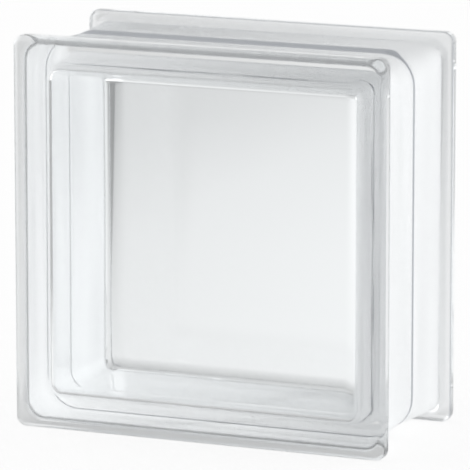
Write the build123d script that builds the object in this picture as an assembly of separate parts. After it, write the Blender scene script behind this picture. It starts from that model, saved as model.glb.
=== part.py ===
from build123d import *
import os

# A hollow glass block: two pressed glass half shells, fused face to face at mid depth.
# Millimetres. The origin is at the bottom centre of the block: +X to the right, +Y from the
# front face to the back face, +Z up. The block stands on the bottom strips of its flanges.

# Overall block
BLOCK_WIDTH = 197.0
BLOCK_HEIGHT = 197.0
BLOCK_DEPTH = 98.0

# Flange round each face: the only glass that shows in a built wall's joint
FLANGE_THICKNESS = 7.6
FLANGE_CORNER_RADIUS = 5.2
FACE_EDGE_RADIUS = 3.0
FLANGE_INNER_EDGE_RADIUS = 1.2

# Mortar channel between the flanges, deepest at the flange foot, and its draft to the seam
CHANNEL_DEPTH_AT_FOOT = 5.0
CHANNEL_DEPTH_AT_SEAM = 4.2
CHANNEL_CORNER_RADIUS_AT_FOOT = 8.0
CHANNEL_CORNER_RADIUS_AT_SEAM = 17.0
FLANGE_FOOT_RADIUS = 3.4

# Cavity inside the shells
FACE_PLATE_THICKNESS = 8.0
WALL_AT_FACE_PLATE = 10.2
WALL_AT_SEAM = 7.2
CAVITY_CORNER_RADIUS_AT_PLATE = 7.5
CAVITY_CORNER_RADIUS_AT_SEAM = 9.5
CAVITY_FLOOR_RADIUS = 6.5

# Edges rounded by the heat where the two halves are fused
SEAM_OUTER_RADIUS = 0.7
SEAM_INNER_RADIUS = 1.0

HALF_DEPTH = BLOCK_DEPTH / 2


def rounded_plate(depth, inset, corner_radius):
    """Rounded rectangle at this depth behind the face, drawn in from the block's outline."""
    width = BLOCK_WIDTH - 2 * inset
    height = BLOCK_HEIGHT - 2 * inset
    return Pos(0, 0, depth) * RectangleRounded(width, height, corner_radius)


def flange_slab():
    """The face's full-size slab, with its front edge and its inner edge rounded."""
    slab = extrude(rounded_plate(0, 0, FLANGE_CORNER_RADIUS), FLANGE_THICKNESS)
    slab = fillet(slab.faces().sort_by(Axis.Z)[0].edges(), FACE_EDGE_RADIUS)
    return fillet(slab.faces().sort_by(Axis.Z)[-1].edges(), FLANGE_INNER_EDGE_RADIUS)


def wall_block():
    """The drafted block that the side walls are cut from, growing towards the seam."""
    foot = rounded_plate(FLANGE_THICKNESS, CHANNEL_DEPTH_AT_FOOT, CHANNEL_CORNER_RADIUS_AT_FOOT)
    seam = rounded_plate(HALF_DEPTH, CHANNEL_DEPTH_AT_SEAM, CHANNEL_CORNER_RADIUS_AT_SEAM)
    return loft([foot, seam])


def cavity_block():
    """The drafted plunger shape that leaves the cavity, with its rounded floor edge."""
    inset_at_plate = CHANNEL_DEPTH_AT_FOOT + WALL_AT_FACE_PLATE
    inset_at_seam = CHANNEL_DEPTH_AT_SEAM + WALL_AT_SEAM
    floor = rounded_plate(FACE_PLATE_THICKNESS, inset_at_plate, CAVITY_CORNER_RADIUS_AT_PLATE)
    mouth = rounded_plate(HALF_DEPTH, inset_at_seam, CAVITY_CORNER_RADIUS_AT_SEAM)
    plunger = loft([floor, mouth])
    return fillet(plunger.faces().sort_by(Axis.Z)[0].edges(), CAVITY_FLOOR_RADIUS)


def foot_edges(shell):
    """The closed ring of edges where the side walls meet the back of the flange."""
    ring = shell.edges().filter_by_position(Axis.Z, FLANGE_THICKNESS, FLANGE_THICKNESS)
    reach = BLOCK_WIDTH / 2 - CHANNEL_DEPTH_AT_FOOT
    return ring.filter_by(lambda edge: max(abs(edge.center().X), abs(edge.center().Y)) <= reach)


def half_shell():
    """One pressed half, its face at depth zero and its open side at the seam."""
    shell = flange_slab() + wall_block()
    shell = fillet(foot_edges(shell), FLANGE_FOOT_RADIUS)
    shell = shell - cavity_block()
    rim = shell.faces().sort_by(Axis.Z)[-1]
    shell = fillet(rim.outer_wire().edges(), SEAM_OUTER_RADIUS)
    rim = shell.faces().sort_by(Axis.Z)[-1]
    return fillet(rim.inner_wires()[0].edges(), SEAM_INNER_RADIUS)


def stand_up(shell):
    """Turn a half so that its face looks along -Y, and set its bottom strip on the ground."""
    upright = Rot(-90, 0, 0) * shell
    return Pos(0, -HALF_DEPTH, BLOCK_HEIGHT / 2) * upright


def build():
    """Make both halves: the back one is the front one turned half round about Z."""
    front_half = stand_up(half_shell())
    back_half = Rot(0, 0, 180) * front_half
    return {"front_half": front_half, "back_half": back_half}


os.makedirs("parts", exist_ok=True)
for node, solid in build().items():
    export_step(solid, f"parts/{node}.step")
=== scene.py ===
"""Looks of a clear hollow glass block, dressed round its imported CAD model.

The block is two pressed half shells that are fused at mid depth, so its glass is one body with an
outer skin and a sealed cavity. Both skins are rings of rounded squares carried along a section.
A thin white coating on the channel is part of the glass's material. The block's lengths and the
camera's distance are millimetres. The paper's lengths and Blender's own are metres.
"""

import logging
import math
from dataclasses import dataclass, field
from enum import Enum

import bpy
import numpy as np
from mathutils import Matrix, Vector


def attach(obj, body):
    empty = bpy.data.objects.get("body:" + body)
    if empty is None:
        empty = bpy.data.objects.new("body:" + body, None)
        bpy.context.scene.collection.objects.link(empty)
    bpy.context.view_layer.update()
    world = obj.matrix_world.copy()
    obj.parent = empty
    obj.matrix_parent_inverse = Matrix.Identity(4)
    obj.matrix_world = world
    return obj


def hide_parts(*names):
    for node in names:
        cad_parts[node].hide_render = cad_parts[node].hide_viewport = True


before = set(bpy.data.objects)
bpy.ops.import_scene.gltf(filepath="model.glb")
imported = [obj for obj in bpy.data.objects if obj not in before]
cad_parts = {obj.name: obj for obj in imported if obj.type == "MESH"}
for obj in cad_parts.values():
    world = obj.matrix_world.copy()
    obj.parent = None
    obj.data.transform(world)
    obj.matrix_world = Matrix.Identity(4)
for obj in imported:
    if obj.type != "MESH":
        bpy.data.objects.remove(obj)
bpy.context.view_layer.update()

# A millimetre in metres, the shortest length that is divided by, and an angle in radians that
# spreads directions evenly
MM = 0.001
TINY = 1e-12
GOLDEN_ANGLE = 2.399963
Colour = tuple[float, float, float, float]
WHITE: Colour = (1.0, 1.0, 1.0, 1.0)
LOG = logging.getLogger("glass_block")


class Skin(Enum):
    """Which side of the glass a surface is, and so which way its faces have to point."""

    OUTER = "outer"
    CAVITY = "cavity"


@dataclass(frozen=True)
class Rings:
    """A run of section points: each one carries a rounded square round the block.

    inset is the distance in from the block's outline, depth the distance behind the face, and
    corner the radius of the rounded square's corners.
    """

    inset: np.ndarray
    depth: np.ndarray
    corner: np.ndarray

    @staticmethod
    def join(*runs: "Rings") -> "Rings":
        """Put runs of section points end to end."""
        return Rings(
            np.concatenate([run.inset for run in runs]),
            np.concatenate([run.depth for run in runs]),
            np.concatenate([run.corner for run in runs]),
        )


def ramp(start: float, end: float, count: int, last: bool = False) -> np.ndarray:
    """Evenly spaced values: start + (end - start) * i / count, without the end unless asked."""
    return np.linspace(start, end, count + int(last), endpoint=last)


def arc(centre: float, radius: float, angles: np.ndarray) -> np.ndarray:
    """One coordinate of an arc: centre + radius * cosine(angle), with the angle in degrees."""
    return centre + radius * np.cos(np.radians(angles))


@dataclass(frozen=True)
class BlockSection:
    """The section of one half shell, from the middle of its face to the seam.

    Lengths are the CAD model's, in mm. The step counts say how finely each stretch is cut, support
    is how near a ring lies to the end of a flat stretch, and seam_turn is the angle in degrees that
    the rounded rims turn through before they meet.
    """

    width: float = 197.0
    height: float = 197.0
    depth: float = 98.0
    flange_thickness: float = 7.6
    flange_corner: float = 5.2
    face_edge: float = 3.0
    flange_inner_edge: float = 1.2
    channel_at_foot: float = 5.0
    channel_at_seam: float = 4.2
    channel_corner_at_foot: float = 8.0
    channel_corner_at_seam: float = 17.0
    flange_foot: float = 3.4
    face_plate: float = 8.0
    wall_at_plate: float = 10.2
    wall_at_seam: float = 7.2
    cavity_corner_at_plate: float = 7.5
    cavity_corner_at_seam: float = 9.5
    cavity_floor: float = 6.5
    seam_outer: float = 0.7
    seam_inner: float = 1.0
    seam_turn: float = 60.0
    fillet_steps: int = 12
    floor_steps: int = 18
    wall_steps: int = 14
    face_steps: int = 16
    support: float = 0.25

    @property
    def half_depth(self) -> float:
        """Distance from the face to the seam."""
        return self.depth / 2

    def outer_half(self) -> Rings:
        """Outer skin of one half: face, flange, channel and seam.

        Returns:
            The section's points from the middle of the face to the seam's valley.
        """
        half = self.width / 2
        return Rings.join(
            self._plate(half - self.face_edge, 0.0, self.flange_corner - self.face_edge),
            self._face_edge(),
            self._flange_land(),
            self._flange_inner_edge(),
            self._flange_foot(),
            self._channel_wall(),
            self._seam_valley(),
        )

    def cavity_half(self) -> Rings:
        """Cavity skin of one half: the back of the face plate, its rounded edge and the wall.

        Returns:
            The section's points from the middle of the plate to the seam's inner valley.
        """
        half = self.width / 2
        floor_inset = self.channel_at_foot + self.wall_at_plate
        floor_half = half - floor_inset - self.cavity_floor
        floor_corner = self.cavity_corner_at_plate - self.cavity_floor
        return Rings.join(
            self._plate(floor_half, self.face_plate, floor_corner),
            self._cavity_floor_edge(),
            self._cavity_wall(),
        )

    def _plate(self, reach: float, depth: float, corner: float) -> Rings:
        """Flat rounded squares that grow from the middle of the plate to its edge.

        Args:
            reach: Half size of the flat stretch.
            depth: Distance behind the face.
            corner: Corner radius at the end of the flat stretch.

        Returns:
            The run's section points.
        """
        share = np.append(ramp(0.0, 1.0, self.face_steps)[1:], 1.0 - self.support / reach)
        half_sizes = reach * share
        corners = np.minimum(corner, corner * share)
        return Rings(self.width / 2 - half_sizes, np.full(len(share), depth), corners)

    def _face_edge(self) -> Rings:
        """Quarter round from the face to the flange's land.

        Returns:
            The run's section points.
        """
        turn = ramp(90.0, 0.0, self.fillet_steps)
        inset = self.face_edge - arc(0.0, self.face_edge, turn)
        depth = self.face_edge - arc(0.0, self.face_edge, 90.0 - turn)
        return Rings(inset, depth, self.flange_corner - inset)

    def _flange_land(self) -> Rings:
        """The straight outermost strip of the flange, with support rings at both ends.

        Returns:
            The run's section points.
        """
        start = self.face_edge
        end = self.flange_thickness - self.flange_inner_edge
        depth = np.array([start, start + self.support, (start + end) / 2, end - self.support])
        return Rings(np.zeros(len(depth)), depth, np.full(len(depth), self.flange_corner))

    def _flange_inner_edge(self) -> Rings:
        """Quarter round from the land to the back of the flange.

        Returns:
            The run's section points.
        """
        turn = ramp(0.0, 90.0, self.fillet_steps)
        radius = self.flange_inner_edge
        inset = radius - arc(0.0, radius, turn)
        depth = self.flange_thickness - radius + arc(0.0, radius, 90.0 - turn)
        return Rings(inset, depth, self.flange_corner - inset)

    def _flange_foot(self) -> Rings:
        """Hollow quarter round from the back of the flange to the channel wall.

        Returns:
            The run's section points.
        """
        turn = ramp(0.0, 90.0 - self._draft(), self.fillet_steps)
        inset = self.channel_at_foot - self.flange_foot + arc(0.0, self.flange_foot, 90.0 - turn)
        depth = self.flange_thickness + self.flange_foot - arc(0.0, self.flange_foot, turn)
        beyond = self.channel_at_foot - inset
        return Rings(inset, depth, self.channel_corner_at_foot + beyond)

    def _draft(self) -> float:
        """Lean of the channel wall, in degrees."""
        rise = self.channel_at_foot - self.channel_at_seam
        return math.degrees(math.atan2(rise, self.half_depth - self.flange_thickness))

    def _wall_at(self, depth: np.ndarray) -> Rings:
        """The drafted channel wall: its inset and corner follow straight lines.

        Args:
            depth: Distances behind the face.

        Returns:
            The run's section points.
        """
        share = (depth - self.flange_thickness) / (self.half_depth - self.flange_thickness)
        inset = self.channel_at_foot + (self.channel_at_seam - self.channel_at_foot) * share
        span = self.channel_corner_at_seam - self.channel_corner_at_foot
        return Rings(inset, depth, self.channel_corner_at_foot + span * share)

    def _channel_wall(self) -> Rings:
        """The drafted wall from the foot round to where the seam's rounding starts.

        Returns:
            The run's section points.
        """
        start = self.flange_thickness + self.flange_foot
        end = self.half_depth - self.seam_outer
        between = ramp(start, end, self.wall_steps)[1:]
        depth = np.concatenate([[start, start + self.support], between, [end - self.support, end]])
        return self._wall_at(depth)

    def _rounded_rim(self, radius: float) -> tuple[np.ndarray, np.ndarray]:
        """A rim's rounded edge, stretched a little so that it ends at the seam.

        Args:
            radius: The edge's radius.

        Returns:
            How far its points dip from the wall, and how far they reach towards the seam.
        """
        turn = ramp(0.0, self.seam_turn, self.fillet_steps // 2, last=True)[1:]
        dip = radius - arc(0.0, radius, turn)
        return dip, arc(0.0, radius, 90.0 - turn) / math.sin(math.radians(self.seam_turn))

    def _seam_valley(self) -> Rings:
        """The half of the seam's shallow valley: a rounded edge that dips in to mid depth.

        Returns:
            The run's section points.
        """
        dip, along = self._rounded_rim(self.seam_outer)
        start = self.half_depth - self.seam_outer
        wall = self._wall_at(np.full(len(dip), start))
        return Rings(wall.inset + dip, start + along, wall.corner - dip)

    def _cavity_wall_at(self, depth: np.ndarray) -> Rings:
        """The drafted cavity wall: its inset and corner follow straight lines.

        Args:
            depth: Distances behind the face.

        Returns:
            The run's section points.
        """
        share = (depth - self.face_plate) / (self.half_depth - self.face_plate)
        at_plate = self.channel_at_foot + self.wall_at_plate
        at_seam = self.channel_at_seam + self.wall_at_seam
        corner_span = self.cavity_corner_at_seam - self.cavity_corner_at_plate
        corner = self.cavity_corner_at_plate + corner_span * share
        return Rings(at_plate + (at_seam - at_plate) * share, depth, corner)

    def _cavity_floor_edge(self) -> Rings:
        """Quarter round from the back of the face plate to the cavity wall.

        Returns:
            The run's section points.
        """
        turn = ramp(0.0, 90.0, self.floor_steps)
        radius = self.cavity_floor
        depth = self.face_plate + radius - arc(0.0, radius, turn)
        wall = self._cavity_wall_at(depth)
        inset = wall.inset + radius - arc(0.0, radius, 90.0 - turn)
        return Rings(inset, depth, wall.corner - (inset - wall.inset))

    def _cavity_wall(self) -> Rings:
        """The cavity wall up to the seam, with a small inner valley where the halves meet.

        Returns:
            The run's section points.
        """
        start = self.face_plate + self.cavity_floor
        end = self.half_depth - self.seam_inner
        between = ramp(start, end, self.wall_steps)[1:]
        depth = np.concatenate([[start], between, [end - self.support, end]])
        dip, along = self._rounded_rim(self.seam_inner)
        rim = self._cavity_wall_at(np.full(len(dip), end))
        valley = Rings(rim.inset - dip, end + along, rim.corner + dip)
        return Rings.join(self._cavity_wall_at(depth), valley)


def rounded_squares(rings: Rings, width: float, height: float, straight: int,
                    round_: int) -> np.ndarray:
    """Carry each section point round the block.

    Side k is the first side turned by k quarter turns. On a side, X is the half size and Z runs
    from minus to plus (half size - corner). On the corner that follows, X and Z are (half size -
    corner) plus corner times cosine and sine of an angle that runs from 0 to 90 degrees.

    Args:
        rings: The section points.
        width: Width of the block, to measure insets from.
        height: Height of the block, equal to the width.
        straight: Steps along a side.
        round_: Steps round a corner.

    Returns:
        Points in mm, of shape (section points, 4 * (straight + round_), 3), with X and Z centred
        on the block's axis and Y as the depth behind the face.
    """
    half = (width / 2 - rings.inset)[:, None]
    corner = np.clip(rings.corner, 0.0, None)[:, None]
    core = half - corner
    along = ramp(-1.0, 1.0, straight)[None, :]
    turn = np.radians(ramp(0.0, 90.0, round_))[None, :]
    side_x = np.concatenate([half + 0 * along, core + corner * np.cos(turn)], axis=1)
    side_z = np.concatenate([core * along, core + corner * np.sin(turn)], axis=1)
    quarter = [(side_x, side_z), (-side_z, side_x), (-side_x, -side_z), (side_z, -side_x)]
    x = np.concatenate([pair[0] for pair in quarter], axis=1)
    z = np.concatenate([pair[1] for pair in quarter], axis=1) * (height / width)
    y = np.broadcast_to(rings.depth[:, None], x.shape)
    return np.stack([x, y, z], axis=-1)


def inward_normals(points: np.ndarray) -> np.ndarray:
    """Unit normals of a closed skin, towards its inside: the cross product of its slopes.

    Args:
        points: A grid of shape (rings, points in a ring, 3), closed along its second axis.

    Returns:
        The normals, in the grid's shape.
    """
    wrapped = np.concatenate([points[:, -1:], points, points[:, :1]], axis=1)
    across = np.gradient(points, axis=0)
    around = (wrapped[:, 2:] - wrapped[:, :-2]) / 2
    normal = np.cross(around, across)
    length = np.linalg.norm(normal, axis=-1, keepdims=True)
    return normal / np.maximum(length, TINY)


@dataclass(frozen=True)
class Ripple:
    """Slow unevenness that pressing leaves in the glass.

    The height is the mean of a few sine waves, amplitude * sine(2 pi * (p . direction) / length +
    phase), so it is smooth, never random, and never more than the amplitude. The waves differ by
    fixed steps in direction and phase, and their lengths grow from shortest towards shortest +
    spread, as shares of length.
    """

    amplitude: float
    length: float
    seed: float
    waves: int = 6
    tilt_step: float = 1.7
    phase_step: float = 1.9
    shortest: float = 0.7
    spread: float = 0.6

    def height(self, points: np.ndarray) -> np.ndarray:
        """Work out the unevenness by the class's formula.

        Args:
            points: Points in mm, of shape (..., 3).

        Returns:
            The height in mm at each point, between minus and plus the amplitude.
        """
        index = np.arange(self.waves)
        azimuth = index * GOLDEN_ANGLE + self.seed
        tilt = np.sin(index * self.tilt_step + self.seed)
        x, y, z = np.cos(azimuth) * np.cos(tilt), np.sin(tilt), np.sin(azimuth) * np.cos(tilt)
        direction = np.stack([x, y, z], axis=-1)
        length = self.length * (self.shortest + self.spread * index / self.waves)
        phase = points @ direction.T * (2 * math.pi / length) + index * self.phase_step + self.seed
        return self.amplitude * np.sin(phase).mean(axis=-1)


def mesh_object(name: str, points: np.ndarray, faces: list[np.ndarray]) -> bpy.types.Object:
    """Put points and faces into a new smooth mesh at the origin.

    Args:
        name: The object's and mesh's name.
        points: Points in metres, of shape (n, 3).
        faces: Arrays of corner indices, of shape (m, 3) or (m, 4).

    Returns:
        The new object, linked to the scene.
    """
    mesh = bpy.data.meshes.new(name)
    mesh.from_pydata(points.tolist(), [], [face for block in faces for face in block.tolist()])
    mesh.validate()
    mesh.polygons.foreach_set("use_smooth", np.ones(len(mesh.polygons), dtype=bool))
    mesh.update()
    piece = bpy.data.objects.new(name, mesh)
    bpy.context.scene.collection.objects.link(piece)
    return piece


def closed_faces(rows: int, columns: int, first: int, flip: bool) -> list[np.ndarray]:
    """Faces of a grid of closed rings, with a fan to a centre point at each end.

    Args:
        rows: Number of rings.
        columns: Points in a ring.
        first: Index of the grid's first point. The two centre points follow the grid.
        flip: Turns the faces round.

    Returns:
        The quads between the rings and the triangles of the two fans.
    """
    row, column = np.meshgrid(np.arange(rows - 1), np.arange(columns), indexing="ij")
    after = (column + 1) % columns
    quads = np.stack([row * columns + column, row * columns + after, (row + 1) * columns + after,
                      (row + 1) * columns + column], axis=-1).reshape(-1, 4)
    ring = np.arange(columns)
    after = (ring + 1) % columns
    start, end = rows * columns, rows * columns + 1
    last = (rows - 1) * columns
    front_fan = np.stack([np.full(columns, start), after, ring], axis=-1)
    back_fan = np.stack([np.full(columns, end), last + ring, last + after], axis=-1)
    blocks = [quads + first, front_fan + first, back_fan + first]
    return [block[:, ::-1] for block in blocks] if flip else blocks


class Wire:
    """A node socket that Python operators add Math nodes to."""

    def __init__(self, tree: bpy.types.NodeTree, socket: bpy.types.NodeSocket) -> None:
        """Wrap this socket of a node tree."""
        self.tree = tree
        self.socket = socket

    def _math(self, operation: str, *values: "Wire | float") -> "Wire":
        """Add a Math node over these values."""
        settings = {"operation": operation}
        return Nodes(self.tree).add("ShaderNodeMath", settings, dict(enumerate(values)))

    def __add__(self, other: "Wire | float") -> "Wire":
        """Sum."""
        return self._math("ADD", self, other)

    __radd__ = __add__

    def __mul__(self, other: "Wire | float") -> "Wire":
        """Product."""
        return self._math("MULTIPLY", self, other)

    __rmul__ = __mul__

    def __sub__(self, other: "Wire | float") -> "Wire":
        """Difference."""
        return self._math("SUBTRACT", self, other)

    def __rsub__(self, other: float) -> "Wire":
        """Difference from a number."""
        return self._math("SUBTRACT", other, self)

    def __neg__(self) -> "Wire":
        """The value with its sign turned."""
        return self * -1.0

    def __abs__(self) -> "Wire":
        """The value without its sign."""
        return self._math("ABSOLUTE", self)

    def maximum(self, other: "Wire | float") -> "Wire":
        """The larger of the two."""
        return self._math("MAXIMUM", self, other)

    def clamped(self) -> "Wire":
        """The value held between 0 and 1."""
        return self._math("MINIMUM", self.maximum(0.0), 1.0)

    def step(self, start: "Wire | float", fade: float) -> "Wire":
        """0 up to start, and from there along a straight line to 1 at start + fade."""
        return ((self - start) * (1.0 / fade)).clamped()

    def output(self, name: str) -> "Wire":
        """Another output of the same node."""
        return Wire(self.tree, self.socket.node.outputs[name])


class Nodes:
    """Adds nodes to a tree: settings first, then the values or links of the sockets."""

    def __init__(self, tree: bpy.types.NodeTree) -> None:
        """Work on this node tree."""
        self.tree = tree

    @staticmethod
    def emptied(owner: bpy.types.Material | bpy.types.World) -> "Nodes":
        """Turn on a material's or a world's nodes, and start from none.

        Args:
            owner: The material or world.

        Returns:
            The nodes of its emptied tree.
        """
        owner.use_nodes = True
        owner.node_tree.nodes.clear()
        return Nodes(owner.node_tree)

    def add(self, kind: str, settings: dict | None = None, sockets: dict | None = None,
            out: str | int = 0) -> Wire:
        """Add a node and set it up.

        Args:
            kind: The node's type.
            settings: Attributes of the node, set first.
            sockets: Input name or index to a number, a colour or a Wire.
            out: Name or index of the output that is wanted.

        Returns:
            That output, or the first input where the node has no output.
        """
        node = self.tree.nodes.new(kind)
        for key, value in (settings or {}).items():
            setattr(node, key, value)
        for key, value in (sockets or {}).items():
            if isinstance(value, Wire):
                self.tree.links.new(value.socket, node.inputs[key])
            else:
                node.inputs[key].default_value = value
        return Wire(self.tree, node.outputs[out] if node.outputs else node.inputs[0])

    def axes(self, coordinates: str = "Object") -> list[Wire]:
        """Split a texture coordinate.

        Args:
            coordinates: The coordinate's name.

        Returns:
            Its X, Y and Z.
        """
        place = self.add("ShaderNodeTexCoord", out=coordinates)
        split = self.add("ShaderNodeSeparateXYZ", {}, {0: place})
        return [split.output(name) for name in ("X", "Y", "Z")]

    def attribute(self, name: str) -> Wire:
        """A number that is stored at the mesh's points."""
        return self.add("ShaderNodeAttribute", {"attribute_name": name}, out="Fac")

    def from_inside(self) -> Wire:
        """1 where the surface is seen from inside the glass, and 0 from outside."""
        return self.add("ShaderNodeNewGeometry", out="Backfacing")

    def ray(self, kind: str) -> Wire:
        """1 for rays of this kind, such as Is Camera Ray, and 0 for all others."""
        return self.add("ShaderNodeLightPath", out=kind)

    def mixed(self, share: Wire, first: Wire, second: Wire) -> Wire:
        """Two surfaces mixed, with this share of the second."""
        return self.add("ShaderNodeMixShader", {}, {0: share, 1: first, 2: second})

    def mixed_colours(self, share: Wire, first: Colour, second: Colour) -> Wire:
        """Two colours mixed, with this share of the second: sockets 6 and 7, and output 2."""
        settings = {"data_type": "RGBA"}
        return self.add("ShaderNodeMix", settings, {0: share, 6: first, 7: second}, out=2)


@dataclass(frozen=True)
class Streaks:
    """Noise drawn out round the walls, so that it runs in streaks parallel to the seam.

    along is how many waves fit in a metre of a streak, and across in a metre of the block's depth.
    """

    along: float
    across: float
    detail: float = 2.0
    mean: float = 0.5

    def noise(self, nodes: Nodes) -> Wire:
        """Add the streaks to a material.

        Args:
            nodes: The material's nodes.

        Returns:
            The noise, between 0 and 1 and equal to mean on average.
        """
        place = nodes.add("ShaderNodeTexCoord", out="Object")
        drawn_out = nodes.add("ShaderNodeMapping", {}, {
            "Vector": place, "Scale": (self.along, self.across, self.along),
        })
        return nodes.add("ShaderNodeTexNoise", {}, {
            "Vector": drawn_out, "Scale": 1.0, "Detail": self.detail,
        })


@dataclass(frozen=True)
class EdgeCoating:
    """Thin white mortar-bond coating on the channel and on the inner sides of the flanges.

    It starts just short of the back of each flange, is thin on the flange and thick on the channel,
    and on the flange and its hollow foot it is greyed as painted shade. It leaves a grey line along
    the seam, narrow on the upright sides, which on the level sides widens into a painted dark band
    that stands in for dark reflections. A grey line of painted shade also follows the rounded inner
    edge of each flange. Lengths are millimetres: start, flange_end and rim_depth are depths behind
    the face, and bare_inside, bare_upright and level_painted_band are half widths of the seam's
    line, which from inside the glass is equally narrow on all sides. Soft light comes through the
    coating, more on the left, with uneven streaks; it is thinner on the left, partly as painted
    light.
    """

    start: float = 7.3
    fade: float = 0.6
    on_flange: float = 0.45
    flange_end: float = 10.5
    flange_fade: float = 2.0
    # painted shade: the share by which the coating on the flange and its hollow foot is greyed
    flange_painted_shade: float = 0.4
    on_channel: float = 0.97
    bare_inside: float = 0.55
    bare_upright: float = 1.3
    # on the level sides the seam's grey line widens into a painted dark band that stands in for dark
    # reflections
    level_painted_band: float = 7.0
    bare_power: float = 8.0
    bare_fade: float = 1.2
    # a grey line of painted shade along the rounded inner edge of each flange
    rim_depth: float = 6.75
    rim_half: float = 0.85
    rim_outside: float = 1.0
    rim_inside: float = 0.45
    # grey of the seam's line, of its painted dark band and of the painted shade on the flanges
    line_and_shade_grey: Colour = (0.38, 0.40, 0.43, 1.0)
    colour: Colour = (0.97, 0.985, 0.995, 1.0)
    roughness: float = 0.5
    see_through: float = 0.5
    # the coating is thinner on the left, partly as painted light on that side
    thinner_left_and_painted_light: float = 0.25
    uneven_outside: float = 0.25
    uneven_inside: float = 0.7
    streaks: Streaks = Streaks(along=6.0, across=70.0)

    def seam_line_and_band_width(self, normals: np.ndarray) -> np.ndarray:
        """Half the width of the seam's grey line, from the upright value to the level one, where it
        widens into a painted dark band.
        """
        level = np.abs(normals[..., 2]) ** self.bare_power
        return self.bare_upright + (self.level_painted_band - self.bare_upright) * level

    def cover(self, nodes: Nodes, half_depth: float) -> tuple[Wire, Wire]:
        """Where the coating lies.

        Args:
            nodes: The material's nodes.
            half_depth: Distance in mm from a face to the seam.

        Returns:
            The share of the glass that it covers, and how clean it is: 0 on a grey line, 1 off it.
        """
        _, y, _ = nodes.axes()
        from_seam = abs(y * (1.0 / MM))
        depth = half_depth - from_seam
        inside = nodes.from_inside()
        # Half width of the seam's grey line, which on the level sides of the outer skin is a wide
        # painted dark band.
        seam_grey_width = nodes.attribute("seam_line_and_band_width") * (1.0 - inside) + inside * self.bare_inside
        off_seam = from_seam.step(seam_grey_width - self.bare_fade / 2, self.bare_fade)
        on_channel = depth.step(self.flange_end - self.flange_fade / 2, self.flange_fade)
        thickness = on_channel * (self.on_channel - self.on_flange) + self.on_flange
        coated = depth.step(self.start, self.fade) * thickness
        # Painted shade: a grey line along each flange's rounded inner edge, weaker from inside the
        # glass.
        off_rim = abs(depth - self.rim_depth).step(0.0, self.rim_half)
        rim_shade_cover = self.rim_outside - inside * (self.rim_outside - self.rim_inside)
        rim = (1.0 - off_rim) * rim_shade_cover
        # The seam's grey line and painted dark band, the painted shade on the flange's edge, and the
        # greyed coat on the flange.
        off_lines_and_shade = off_seam * (1.0 - rim) * (1.0 - (1.0 - on_channel) * self.flange_painted_shade)
        return coated.maximum(rim) * nodes.attribute("outside"), off_lines_and_shade

    def surface(self, nodes: Nodes, off_lines_and_shade: Wire, half_width: float) -> Wire:
        """White satin coat that lets soft light through where it is thin, with its grey lines and
        painted shade.

        Args:
            nodes: The material's nodes.
            off_lines_and_shade: 0 on a grey line or painted shade, and 1 off them.
            half_width: Half the block's width in mm.

        Returns:
            The coating's surface.
        """
        x, _, _ = nodes.axes()
        rightward = x * (1.0 / (half_width * MM))
        more_inside = nodes.from_inside() * (self.uneven_inside - self.uneven_outside)
        streaks = self.streaks.noise(nodes) - self.streaks.mean
        uneven = streaks * (more_inside + self.uneven_outside)
        # More soft light comes through on the left, partly as painted light.
        thin = off_lines_and_shade * (self.see_through - rightward * self.thinner_left_and_painted_light + uneven).clamped()
        satin = nodes.add("ShaderNodeBsdfPrincipled", {}, {
            "Base Color": nodes.mixed_colours(off_lines_and_shade, self.line_and_shade_grey, self.colour),
            "Roughness": self.roughness,
        })
        soft = nodes.add("ShaderNodeBsdfTranslucent", {}, {"Color": self.colour})
        return nodes.mixed(thin, satin, soft)


@dataclass(frozen=True)
class ClearPressedGlass:
    """Soda-lime glass, nearly colourless and faintly cool, with faint streaks from the mould."""

    ior: float = 1.52
    tint: Colour = (0.985, 0.996, 1.0, 1.0)
    roughness: float = 0.0
    streaks: Streaks = Streaks(along=7.0, across=85.0)
    streak_height: float = 0.00025

    def material(self, coating: EdgeCoating, block: BlockSection) -> bpy.types.Material:
        """Make the glass's material, with the coating on top of it.

        Args:
            coating: The coating on the channel.
            block: The block's section, for its size.

        Returns:
            The material of the whole glass piece.
        """
        made = bpy.data.materials.new("clear_pressed_glass")
        nodes = Nodes.emptied(made)
        normal = nodes.add("ShaderNodeBump", {}, {
            "Height": self.streaks.noise(nodes), "Distance": self.streak_height,
        })
        glass = nodes.add("ShaderNodeBsdfPrincipled", {}, {
            "Base Color": self.tint,
            "Normal": normal,
            "Roughness": self.roughness,
            "IOR": self.ior,
            "Transmission Weight": 1.0,
        })
        cover, off_lines_and_shade = coating.cover(nodes, block.half_depth)
        coat = coating.surface(nodes, off_lines_and_shade, block.width / 2)
        nodes.add("ShaderNodeOutputMaterial", {}, {"Surface": nodes.mixed(cover, glass, coat)})
        return made


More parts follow.
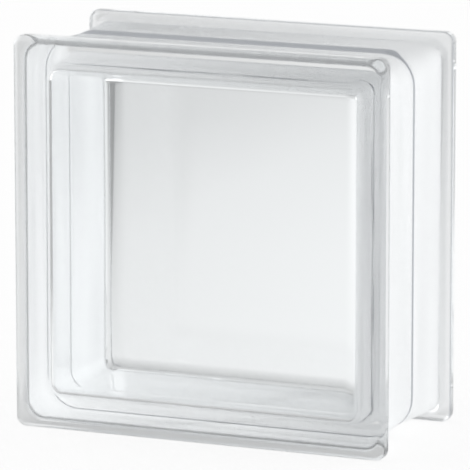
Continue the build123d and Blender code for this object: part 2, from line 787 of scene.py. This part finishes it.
@dataclass
class GlassBlock:
    """The block's glass: an outer skin and a cavity skin, each closed, in one piece."""

    section: BlockSection = field(default_factory=BlockSection)
    finish: ClearPressedGlass = field(default_factory=ClearPressedGlass)
    coating: EdgeCoating = field(default_factory=EdgeCoating)
    ripple: Ripple = Ripple(amplitude=0.02, length=70.0, seed=0.3)
    side_steps: int = 24
    corner_steps: int = 18

    def build(self) -> bpy.types.Object:
        """Make the glass piece, dress it and let it stand for both CAD halves.

        Returns:
            The finished piece.
        """
        outer = self._skin(self.section.outer_half(), Skin.OUTER)
        cavity = self._skin(self.section.cavity_half(), Skin.CAVITY)
        outer_points = self._with_centres(outer)
        points = np.concatenate([outer_points, self._with_centres(cavity)]) * MM
        faces = self._faces(outer, 0, Skin.OUTER)
        faces += self._faces(cavity, len(outer_points), Skin.CAVITY)
        piece = mesh_object("fused_glass_block", points, faces)
        # The seam line's half width, widened into a painted dark band on the level sides.
        seam_line_and_band_width = self.coating.seam_line_and_band_width(inward_normals(outer))
        self._store(piece, "seam_line_and_band_width", seam_line_and_band_width.reshape(-1))
        self._store(piece, "outside", np.ones(len(outer_points)))
        piece.data.materials.append(self.finish.material(self.coating, self.section))
        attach(piece, "root")
        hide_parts("front_half", "back_half")
        LOG.info("%s: %d faces", piece.name, len(piece.data.polygons))
        return piece

    def _skin(self, half: Rings, skin: Skin) -> np.ndarray:
        """Both halves of one skin, in the block's frame.

        The back half is the front one mirrored at mid depth, with its last ring left out. The outer
        skin is sunk by its unevenness, so that it never leaves the block's outline.

        Args:
            half: Section points of one half, from the face to the seam.
            skin: Which skin it is.

        Returns:
            Points in mm of shape (rings, points in a ring, 3).
        """
        size = self.section
        front = rounded_squares(half, size.width, size.height, self.side_steps, self.corner_steps)
        back = front[-2::-1] * np.array([1.0, -1.0, 1.0]) + np.array([0.0, size.depth, 0.0])
        points = np.concatenate([front, back]) - np.array([0.0, size.half_depth, 0.0])
        if skin is Skin.OUTER:
            sink = self.ripple.amplitude - self.ripple.height(points)
            points = points + inward_normals(points) * sink[..., None]
        return points + np.array([0.0, 0.0, size.height / 2])

    @staticmethod
    def _faces(points: np.ndarray, first: int, skin: Skin) -> list[np.ndarray]:
        """Faces of a skin whose points start at this index, turned out of the glass."""
        return closed_faces(points.shape[0], points.shape[1], first, flip=skin is Skin.OUTER)

    @staticmethod
    def _with_centres(points: np.ndarray) -> np.ndarray:
        """The grid's points in a row, and then the centres of its first and last rings."""
        flat = points.reshape(-1, 3)
        return np.concatenate([flat, points[:1].mean(axis=1), points[-1:].mean(axis=1)])

    @staticmethod
    def _store(piece: bpy.types.Object, name: str, values: np.ndarray) -> None:
        """Store numbers at the mesh's first points, and 0 at all the rest.

        Args:
            piece: The piece with the mesh.
            name: The attribute's name.
            values: The numbers.
        """
        padded = np.zeros(len(piece.data.vertices))
        padded[:len(values)] = values
        piece.data.attributes.new(name, "FLOAT", "POINT").data.foreach_set("value", padded)


@dataclass(frozen=True)
class Paper:
    """The white paper that the block stands on. Lengths are metres.

    The camera sees it as plain white, and all but the share shadowless of that takes the block's
    shadow. Rays through the glass or off it see the paper glow with a painted pattern of light and
    shade in place of the studio's light on it. Behind the block that glow is level, more towards the
    picture's right and less with distance, and in front it is front_level near the block and drops
    farther out. It also drops on the far left, though never under least. Right below the block the
    clear glass sees a painted shadow, darker by the share below_painted_shadow, and the soft light
    from there is a painted glow, stronger by the share below_painted_glow.
    """

    size: float = 6.0
    colour: Colour = (0.85, 0.85, 0.85, 1.0)
    white: float = 1.03
    shadowless: float = 0.85
    level: float = 0.88
    per_right: float = 0.6
    per_away: float = 0.09
    front_edge: float = 0.05
    front_level: float = 1.0
    front_start: float = 0.5
    front_fade: float = 0.6
    front_drop: float = 0.5
    left_start: float = 0.25
    left_slant: float = 0.9
    left_fade: float = 0.2
    left_drop: float = 0.55
    least: float = 0.32
    below_width: float = 0.125
    below_depth: float = 0.08
    below_edges: float = 1.0 / 30.0
    below_painted_shadow: float = 0.4
    below_painted_glow: float = 0.35

    def build(self, azimuth: float) -> bpy.types.Object:
        """Make the floor.

        Args:
            azimuth: The camera's turn round the block, in degrees.

        Returns:
            The floor.
        """
        square = np.array([[-1.0, -1.0, 0.0], [1.0, -1.0, 0.0], [1.0, 1.0, 0.0], [-1.0, 1.0, 0.0]])
        floor = mesh_object("floor", square * self.size / 2, [np.array([[0, 1, 2, 3]])])
        made = bpy.data.materials.new("white_floor")
        nodes = Nodes.emptied(made)
        camera = nodes.ray("Is Camera Ray")
        others = 1.0 - camera
        strength = camera * self.white + others * self._light(nodes, math.radians(azimuth))
        shaded = nodes.add("ShaderNodeBsdfDiffuse", {}, {"Color": self.colour})
        white = nodes.add("ShaderNodeEmission", {}, {"Color": WHITE, "Strength": strength})
        surface = nodes.mixed(camera * self.shadowless + others, shaded, white)
        nodes.add("ShaderNodeOutputMaterial", {}, {"Surface": surface})
        floor.data.materials.append(made)
        LOG.info("%s: %.1f m wide", floor.name, self.size)
        return floor

    def _light(self, nodes: Nodes, turn: float) -> Wire:
        """The painted pattern of light and shade that the paper glows with, as the class says.

        Args:
            nodes: The paper's nodes.
            turn: The camera's turn round the block, in radians.

        Returns:
            The strength of the light from the paper.
        """
        x, y, _ = nodes.axes()
        right = x * math.cos(turn) + y * math.sin(turn)
        away = y * math.cos(turn) - x * math.sin(turn)
        behind = (right * self.per_right - away * self.per_away + self.level).clamped()
        front = (-y).step(0.0, self.front_edge)
        far_out = (-y).step(self.front_start, self.front_fade)
        leftward = (-x - y.maximum(0.0) * self.left_slant).step(self.left_start, self.left_fade)
        plain = behind * (1.0 - front) + front * (self.front_level - far_out * self.front_drop)
        # Painted shadow right below the block for clear rays, and painted glow there for soft ones.
        below = (-abs(x)).step(-self.below_width, self.below_edges)
        below = below * (-abs(y)).step(-self.below_depth, self.below_edges)
        soft = nodes.ray("Is Diffuse Ray")
        change = below * (soft * (self.below_painted_glow + self.below_painted_shadow) - self.below_painted_shadow)
        return (plain - leftward * self.left_drop).maximum(self.least) * (1.0 + change)


@dataclass(frozen=True)
class Surround:
    """Soft light from all round: a wide bright screen on each side and dimmer surroundings.

    With x to the right, y to the back and z up, the strength in a direction is around * (1 -
    overhead * z), plus left * x * x or right * x * x by its side, plus corner * (x + y) * (x + y) /
    2 at the back right. The camera itself sees plain white.
    """

    white: float = 1.03
    around: float = 0.36
    overhead: float = 0.5
    left: float = 2.8
    right: float = 1.4
    corner: float = 0.9

    def build(self) -> None:
        """Make the world and put it into the scene."""
        world = bpy.data.worlds.new("studio")
        bpy.context.scene.world = world
        nodes = Nodes.emptied(world)
        x, y, z = nodes.axes("Generated")
        leftward, rightward = (-x).maximum(0.0), x.maximum(0.0)
        screens = leftward * leftward * self.left + rightward * rightward * self.right
        corner = (x + y).maximum(0.0) * math.sqrt(0.5)
        studio = (1.0 - z * self.overhead) * self.around + screens + corner * corner * self.corner
        camera = nodes.ray("Is Camera Ray")
        strength = camera * self.white + (1.0 - camera) * studio
        light = nodes.add("ShaderNodeBackground", {}, {"Color": WHITE, "Strength": strength})
        nodes.add("ShaderNodeOutputWorld", {}, {"Surface": light})
        LOG.info("%s: screens %.1f and %.1f", world.name, self.left, self.right)


@dataclass(frozen=True)
class LongLens:
    """Camera that sees the block's front, right side and top.

    Angles are degrees, distance and sensor are millimetres, and clip_end is metres. centre_px is
    where the block's middle lies in the square picture.
    """

    picture_px: int = 470
    focal_px: float = 5069.0
    distance: float = 2512.0
    azimuth: float = 23.08
    elevation: float = 11.17
    centre_px: tuple[float, float] = (235.46, 229.23)
    sensor: float = 36.0
    clip_end: float = 100.0

    def build(self, block: BlockSection) -> bpy.types.Object:
        """Make the camera and let the scene use it.

        Args:
            block: The block that it is aimed at.

        Returns:
            The camera.
        """
        lens = bpy.data.cameras.new("camera")
        lens.sensor_width = self.sensor
        lens.lens = self.sensor * self.focal_px / self.picture_px
        lens.clip_end = self.clip_end
        azimuth, elevation = math.radians(self.azimuth), math.radians(self.elevation)
        level = math.cos(elevation)
        back = Vector((math.sin(azimuth) * level, -math.cos(azimuth) * level, math.sin(elevation)))
        right = Vector((math.cos(azimuth), math.sin(azimuth), 0.0))
        up = back.cross(right)
        centre = Vector((0.0, 0.0, block.height / 2)) * MM
        scale = self.distance * MM / self.focal_px
        aside = (self.picture_px / 2 - self.centre_px[0]) * scale
        below = (self.centre_px[1] - self.picture_px / 2) * scale
        aim = centre + right * aside + up * below
        camera = bpy.data.objects.new("camera", lens)
        camera.location = centre + back * self.distance * MM
        camera.rotation_mode = "QUATERNION"
        camera.rotation_quaternion = (camera.location - aim).to_track_quat("Z", "Y")
        bpy.context.scene.collection.objects.link(camera)
        bpy.context.scene.camera = camera
        LOG.info("%s: %.0f mm lens", camera.name, lens.lens)
        return camera


@dataclass
class Studio:
    """Floor, light, camera and render settings.

    bounces is enough for light inside thick glass. The pixel filter's width, a denoiser that goes
    by colour alone and a limit on the light of bounced samples keep thin lines in the glass smooth.
    """

    paper: Paper = field(default_factory=Paper)
    surround: Surround = field(default_factory=Surround)
    camera: LongLens = field(default_factory=LongLens)
    bounces: int = 32
    filter_width: float = 1.8
    brightest_indirect: float = 1.5

    def build(self, block: BlockSection) -> None:
        """Make the whole studio round the block.

        Args:
            block: The block that the camera is aimed at.
        """
        self._render_settings()
        self.paper.build(self.camera.azimuth)
        self.surround.build()
        self.camera.build(block)

    def _render_settings(self) -> None:
        """Plain view transform, and the renderer's settings."""
        bpy.context.scene.view_settings.view_transform = "Standard"
        cycles = bpy.context.scene.cycles
        cycles.filter_width = self.filter_width
        cycles.use_adaptive_sampling = False
        cycles.denoising_input_passes = "RGB"
        cycles.sample_clamp_indirect = self.brightest_indirect
        cycles.max_bounces = self.bounces
        cycles.transmission_bounces = self.bounces
        cycles.glossy_bounces = self.bounces


def main() -> None:
    """Build the glass and then the studio round it."""
    logging.basicConfig(level=logging.INFO, format="%(name)s %(message)s")
    block = GlassBlock()
    block.build()
    Studio().build(block.section)


if __name__ == "__main__":
    main()
